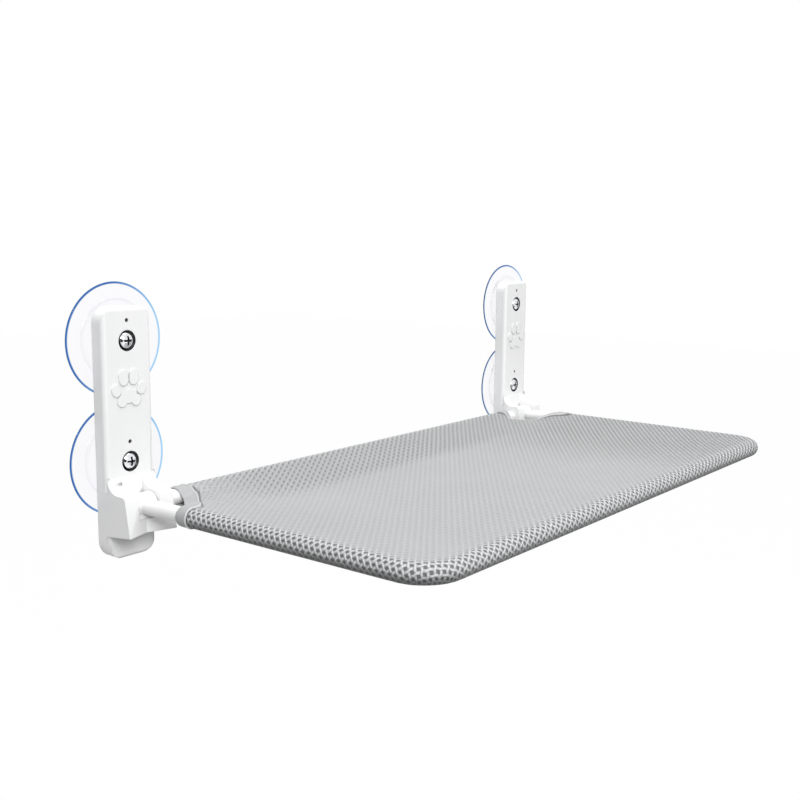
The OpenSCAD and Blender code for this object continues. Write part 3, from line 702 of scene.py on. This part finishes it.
def webbing(name, light, dark, uvMap, along, across, depth, edgeHighlight=None):
    # close rib weave that follows the tape, whose first edge, the raised bead, may carry a paler painted
    # highlight
    mat, tree, shader = startMaterial(name)
    x, y = clothPlace(tree, uvMap)
    ribs = product(tree, strandWave(tree, x, 2 * math.pi / along), strandWave(tree, y, 2 * math.pi / across))
    weave = reckon(tree, "MULTIPLY_ADD", ribs, 0.5, 0.5)
    cloud = mottle(tree, objectPlace(tree), 30.0, 4.0)
    mix = reckon(tree, "MULTIPLY_ADD", weave, 0.35, product(tree, cloud, 0.65))
    colour = blendColour(tree, mix, dark, light)
    if edgeHighlight:
        # painted highlight along the tape's raised outer edge
        colour = blendColour(tree, stretch(tree, y, 0.0012, 0.002), edgeHighlight, colour)
    put(tree, colour, shader.inputs["Base Color"])
    shader.inputs["Roughness"].default_value = 0.7
    shader.inputs["Sheen Weight"].default_value = 0.2
    relief(tree, shader, weave, depth, 0.7)
    return mat


finishes["mesh_fabric"] = openKnit()
finishes["backing_fabric"] = webbing("backingCloth", (0.56, 0.565, 0.57, 1), (0.46, 0.465, 0.47, 1), "cloth",
                                     0.0011, 0.0011, 0.0001)
finishes["binding_tape"] = webbing("bindingTape", (0.44, 0.445, 0.45, 1), (0.385, 0.39, 0.395, 1), "tape",
                                   0.0012, 0.0018, 0.00008, edgeHighlight=(0.62, 0.62, 0.625, 1))
finishes["loop_tape"] = webbing("loopTape", (0.62, 0.62, 0.62, 1), (0.45, 0.45, 0.45, 1), "tape",
                                0.0016, 0.0014, 0.0005)
finishes["hook_tape"] = webbing("hookTape", (0.6, 0.6, 0.6, 1), (0.4, 0.4, 0.4, 1), "tape",
                                0.0013, 0.0013, 0.0006)


def cutOutline(parts):
    # the runs of an outline end to end, and for each of its points one on the spine
    return (np.concatenate([points for points, begin, finish in parts]),
            np.concatenate([line(begin, finish, len(points)) for points, begin, finish in parts]))


def hammockOutline():
    # the frame's outline let out by the wrap round each tube, less a cut-out at each rear corner. Each run
    # ends with its number of points
    w, bend = perch["halfWidth"], perch["bend"]
    far, bendY, sweep = w + sideWrap, frontY + bend, bend + sideWrap
    foreY, endY = frontY - sideWrap, perch["rearY"] + rearWrap
    sideX = w - perch["cutSide"]
    outline, targets = cutOutline([
        (line((-far, cutY), (-far, bendY), 80), spineLeft, spineLeft),
        (arc(bend - w, bendY, sweep, math.pi, 1.5 * math.pi, 38), spineLeft, spineLeft),
        (line((bend - w, foreY), (w - bend, foreY), 170), spineLeft, spineRight),
        (arc(w - bend, bendY, sweep, 1.5 * math.pi, 2 * math.pi, 38), spineRight, spineRight),
        (line((far, bendY), (far, cutY), 80), spineRight, spineRight),
        (line((far, cutY), (sideX, cutY), 22), spineRight, spineRight),
        (line((sideX, cutY), (barX, barY), 26), spineRight, spineRight),
        (line((barX, barY), (barX, endY), 26), spineRight, spineRight),
        (line((barX, endY), (-barX, endY), 170), spineRight, spineLeft),
        (line((-barX, endY), (-barX, barY), 26), spineLeft, spineLeft),
        (line((-barX, barY), (-sideX, cutY), 26), spineLeft, spineLeft),
        (line((-sideX, cutY), (-far, cutY), 22), spineLeft, spineLeft),
    ])
    return leaned(outline), targets, (2 * far, perch["depth"] + sideWrap + rearWrap)


outline, targets, cutSize = hammockOutline()
# rows lie close together where the cloth rolls, and wider apart where it is flat
steps = np.concatenate([np.arange(0, 0.078, 0.0021), np.arange(0.08, 0.186, 0.007)])
hammock, hammockArea = nestedSheet("hammock_cover.cloth", outline, targets, steps,
                                   lambda flat: rollOn(flat, 0.0), finishes["mesh_fabric"])
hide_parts("hammock_cover")
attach(hammock, "folding_frame")
print("hammock cover rolled on, cut area", round(hammockArea, 4))

# bindings of the rear corner cut-outs

binding = {
    "width": 0.011,        # on the cloth
    "hem": 0.002,          # turned in, both edges together
    "rise": 0.0008,
    "bend": 0.003,         # rounding of the corners
    "step": 0.0022,
}


def softPath(points, bend, step):
    # straight runs joined by quadratic rounds that start bend before each corner
    pieces = []
    points = [np.array(p, float) for p in points]
    here = points[0]
    for before, at, after in zip(points, points[1:], points[2:]):
        back = at + (before - at) / np.linalg.norm(before - at) * bend
        fore = at + (after - at) / np.linalg.norm(after - at) * bend
        pieces.append(line(here, back, max(2, int(np.linalg.norm(back - here) / step))))
        t = np.arange(10)[:, None] / 10
        pieces.append((1 - t) ** 2 * back + 2 * t * (1 - t) * at + t * t * fore)
        here = fore
    pieces.append(line(here, points[-1], max(2, int(np.linalg.norm(points[-1] - here) / step))))
    pieces.append(points[-1][None])
    return np.concatenate(pieces)


def cornerBinding(name, mirror):
    # the tape's section (distance from the cut, lift off the cloth) carried along the left cut, which the
    # right one mirrors, then rolled onto the tubes
    w = perch["halfWidth"]
    path = leaned(softPath([(-w - sideWrap, cutY), (perch["cutSide"] - w, cutY), (-barX, barY),
                            (-barX, perch["rearY"] + rearWrap)], binding["bend"], binding["step"]))
    way = np.gradient(path, axis=0)
    way /= np.hypot(*way.T)[:, None]
    into = np.stack([way[:, 1], -way[:, 0]], 1)
    wide, rise = binding["width"], binding["rise"]
    section = np.array([
        [wide, -0.0001], [wide, rise * 0.75], [wide - 0.0006, rise * 1.25], [wide - 0.0014, rise * 1.15],
        [wide - 0.0024, rise * 0.8], [wide - 0.004, rise * 0.8], [wide * 0.5, rise * 0.85],
        [0.002, rise * 0.85], [0.0005, rise * 0.7], [-0.0004, rise * 0.2], [-0.0006, -0.0005],
        [-0.0002, -0.0010], [0.001, -0.00115], [wide * 0.5, -0.00115], [wide - 0.001, -0.00115],
        [wide - 0.0004, -0.0009]])
    flat = path[:, None] + into[:, None] * section[None, :, 0:1]
    if mirror:
        flat[..., 0] *= -1
    lift = np.repeat(section[None, :, 1], len(path), 0)
    points = rollOn(flat, lift)[0]
    rows, count = points.shape[:2]
    grid, quads = ringFaces(rows, count)
    caps = [grid[0].tolist()[::-1], grid[-1].tolist()]
    mesh = bpy.data.meshes.new(name)
    mesh.from_pydata(points.reshape(-1, 3).tolist(), [], quads.tolist() + caps)
    run = np.append(0, np.cumsum(np.hypot(*np.diff(path, axis=0).T)))
    over = np.append(0, np.cumsum(np.hypot(*np.diff(section, axis=0).T)))
    layUv(mesh, "tape", np.stack([np.repeat(run, count), np.tile(over, rows)], 1))
    faceOutward(mesh)
    piece = smoothPiece(name + ".tape", mesh, finishes["binding_tape"])
    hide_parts(name)
    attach(piece, "folding_frame")
    return piece, float(run[-1])


leftBinding, bindingLength = cornerBinding("left_corner_binding", False)
rightBinding, bindingLength = cornerBinding("right_corner_binding", True)
print("bindings done, each", round(bindingLength, 3), "m long")

# underside panel and closing strips

panel = {
    "inset": 0.010,        # from the tubes' middle lines
    "rear": 0.0096,
    "clear": 0.002,        # back from the corner cut-outs
    "z": -0.08495,
    "sag": 0.0015,
    "ripple": 0.0002,
}


def undersideSheet():
    # a flat cut inside the tubes, which sags from its edges inwards with a slight ripple along x
    w, inset = perch["halfWidth"], panel["inset"]
    x, front, radius = w - inset, frontY + inset, perch["bend"] - inset
    back, bendY = perch["rearY"] - panel["rear"], front + radius
    # where the diagonal of the cut-out crosses the panel's side and rear edge
    slopeX, slopeY = perch["cutBar"] - perch["cutSide"], perch["cutDeep"] - perch["cutBack"]
    sideY = cutY + (inset - perch["cutSide"]) / slopeX * slopeY - panel["clear"]
    rearX = w - perch["cutSide"] - (back - cutY) / slopeY * slopeX - panel["clear"]
    outline, targets = cutOutline([
        (line((-x, sideY), (-x, bendY), 60), spineLeft, spineLeft),
        (arc(radius - x, bendY, radius, math.pi, 1.5 * math.pi, 12), spineLeft, spineLeft),
        (line((radius - x, front), (x - radius, front), 120), spineLeft, spineRight),
        (arc(x - radius, bendY, radius, 1.5 * math.pi, 2 * math.pi, 12), spineRight, spineRight),
        (line((x, bendY), (x, sideY), 60), spineRight, spineRight),
        (line((x, sideY), (rearX, back), 20), spineRight, spineRight),
        (line((rearX, back), (-rearX, back), 120), spineRight, spineLeft),
        (line((-rearX, back), (-x, sideY), 20), spineLeft, spineLeft),
    ])

    def shape(flat):
        near = np.minimum(x - np.abs(flat[..., 0]), np.minimum(flat[..., 1] - front, back - flat[..., 1]))
        hollow = smooth(near, 0.008, 0.09)
        ripple = np.sin(flat[..., 0] * 55 + 2 * np.sin(flat[..., 1] * 30)) * panel["ripple"] * hollow
        z = panel["z"] - panel["sag"] * hollow + ripple
        return np.concatenate([flat, z[..., None]], -1), near

    sheet, area = nestedSheet("underside_panel.cloth", outline, targets, np.arange(0, 0.1361, 0.0068), shape,
                              finishes["backing_fabric"])
    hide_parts("underside_panel")
    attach(sheet, "folding_frame")
    return sheet, area, (2 * x, back - front)


underside, undersideArea, undersideSize = undersideSheet()


strip = {
    "taper": 0.003,        # length of the rounded ends
    "narrow": 0.002,       # how much they draw in at each side
    "thin": 0.3,           # share of the thickness left at the very end
    "across": 25,
    "along": 240,
}


def closingStrip(name, slot):
    # a flat tape in the CAD strip's box: a rounded section, cos t to the power 0.25 by sin t to the power
    # 0.6, carried along it and narrowed by a quarter round at each end
    low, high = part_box(name)
    low, high = np.array(low), np.array(high)
    across, along = strip["across"], strip["along"]
    s = np.linspace(-1, 1, along)[:, None]
    t = np.linspace(0, 2 * np.pi, across, endpoint=False)[None]
    half = (high - low) / 2
    middle = (high + low) / 2
    end = np.clip((1 - np.abs(s)) * half[0] / strip["taper"], 0, 1)
    end = np.sqrt(1 - (1 - end) ** 2)
    y = np.sign(np.cos(t)) * np.abs(np.cos(t)) ** 0.25 * (half[1] - strip["narrow"] * (1 - end))
    z = np.sign(np.sin(t)) * np.abs(np.sin(t)) ** 0.6 * half[2] * (strip["thin"] + (1 - strip["thin"]) * end)
    points = np.stack(np.broadcast_arrays(middle[0] + s * half[0] + 0 * t, middle[1] + y, middle[2] + z), -1)
    points = points.reshape(-1, 3)
    grid, quads = ringFaces(along, across)
    caps = [grid[0].tolist(), grid[-1].tolist()]
    mesh = bpy.data.meshes.new(name)
    mesh.from_pydata(points.tolist(), [], quads[:, [0, 3, 2, 1]].tolist() + caps)
    layUv(mesh, "tape", points[:, :2])
    faceOutward(mesh)
    piece = smoothPiece(name + ".tape", mesh, finishes[slot])
    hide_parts(name)
    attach(piece, "folding_frame")
    return piece, (2 * half[0], 2 * half[1])


loopStrip, stripSize = closingStrip("rear_loop_strip", "loop_tape")
hookStrip, stripSize = closingStrip("rear_hook_strip", "hook_tape")

print("underside and closing strips done")

# stage and light

stage = {
    "floorZ": -0.95,
    "floorReach": 9.0,
    "floorTone": (0.26, 0.26, 0.26, 1),
    "floorGlow": 1.19,     # the floor's own white where it is seen
    "glowShare": 0.8,      # how much of it is mixed in
    "sky": 0.52,           # world light on the object
    "key": 78.0,           # watts
    "top": 20.0,
    "card": 0.45,          # half the dark card's side
}


def seenRays(tree):
    # 1 for camera, glossy and transmitted rays
    path = tree.nodes.new("ShaderNodeLightPath")
    return greatest(tree, path.outputs["Is Camera Ray"], path.outputs["Is Glossy Ray"],
                    path.outputs["Is Transmission Ray"])


square = ((-1, -1), (1, -1), (1, 1), (-1, 1))   # corners of a card


def stageCard(name, corners, material):
    # one flat face for the stage, linked into the scene
    mesh = bpy.data.meshes.new(name)
    mesh.from_pydata([tuple(corner) for corner in corners], [], [(0, 1, 2, 3)])
    mesh.materials.append(material)
    card = bpy.data.objects.new(name, mesh)
    bpy.context.scene.collection.objects.link(card)
    return card


def paleFloor():
    # a pale floor that keeps the object's shadow and shows as near white
    mat, tree, shader = startMaterial("paleFloor")
    shader.inputs["Base Color"].default_value = stage["floorTone"]
    shader.inputs["Roughness"].default_value = 0.9
    glow = tree.nodes.new("ShaderNodeEmission")
    glow.inputs["Strength"].default_value = stage["floorGlow"]
    mix = tree.nodes.new("ShaderNodeMixShader")
    put(tree, product(tree, seenRays(tree), stage["glowShare"]), mix.inputs["Fac"])
    tree.links.new(shader.outputs["BSDF"], mix.inputs[1])
    tree.links.new(glow.outputs["Emission"], mix.inputs[2])
    tree.links.new(mix.outputs["Shader"], tree.nodes["Material Output"].inputs["Surface"])
    size = stage["floorReach"]
    floor = stageCard("floor", [(size * a, size * b, stage["floorZ"]) for a, b in square], mat)


def paleWorld():
    # white where it is seen, and dimmer as light
    world = bpy.data.worlds.new("studio")
    world.use_nodes = True
    tree = world.node_tree
    back = tree.nodes["Background"]
    back.inputs["Color"].default_value = (1, 1, 1, 1)
    sky = reckon(tree, "MULTIPLY_ADD", seenRays(tree), 1 - stage["sky"], stage["sky"])
    put(tree, sky, back.inputs["Strength"])
    bpy.context.scene.world = world


def softLamp(name, place, aim, size, power):
    # a round area lamp at a place, turned to its aim
    data = bpy.data.lights.new(name, "AREA")
    data.shape = "DISK"
    data.size = size
    data.energy = power
    lamp = bpy.data.objects.new(name, data)
    lamp.location = place
    lamp.rotation_euler = (Vector(aim) - Vector(place)).to_track_quat("-Z", "Y").to_euler()
    bpy.context.scene.collection.objects.link(lamp)


def darkFlag(place, aim, size):
    # a black card beside the camera that only shows in polished metal
    turn = (Vector(aim) - Vector(place)).to_track_quat("-Z", "Y").to_matrix()
    mat, tree, shader = startMaterial("blackCard")
    shader.inputs["Base Color"].default_value = (0.01, 0.01, 0.01, 1)
    corners = [Vector(place) + turn @ Vector((size * a, size * b, 0)) for a, b in square]
    card = stageCard("darkFlag", corners, mat)
    card.visible_camera = card.visible_diffuse = card.visible_shadow = card.visible_transmission = False


paleFloor()
paleWorld()
darkFlag((-1.25, -1.05, 0.1), (-0.28, -0.02, 0.0), stage["card"])
softLamp("keyLamp", (-1.75, -2.7, 1.7), (0, -0.1, -0.05), 1.6, stage["key"])
softLamp("topLamp", (0.1, -0.35, 1.9), (0, -0.15, -0.05), 1.4, stage["top"])
view = bpy.context.scene.view_settings
view.view_transform = "Standard"
print("stage set")
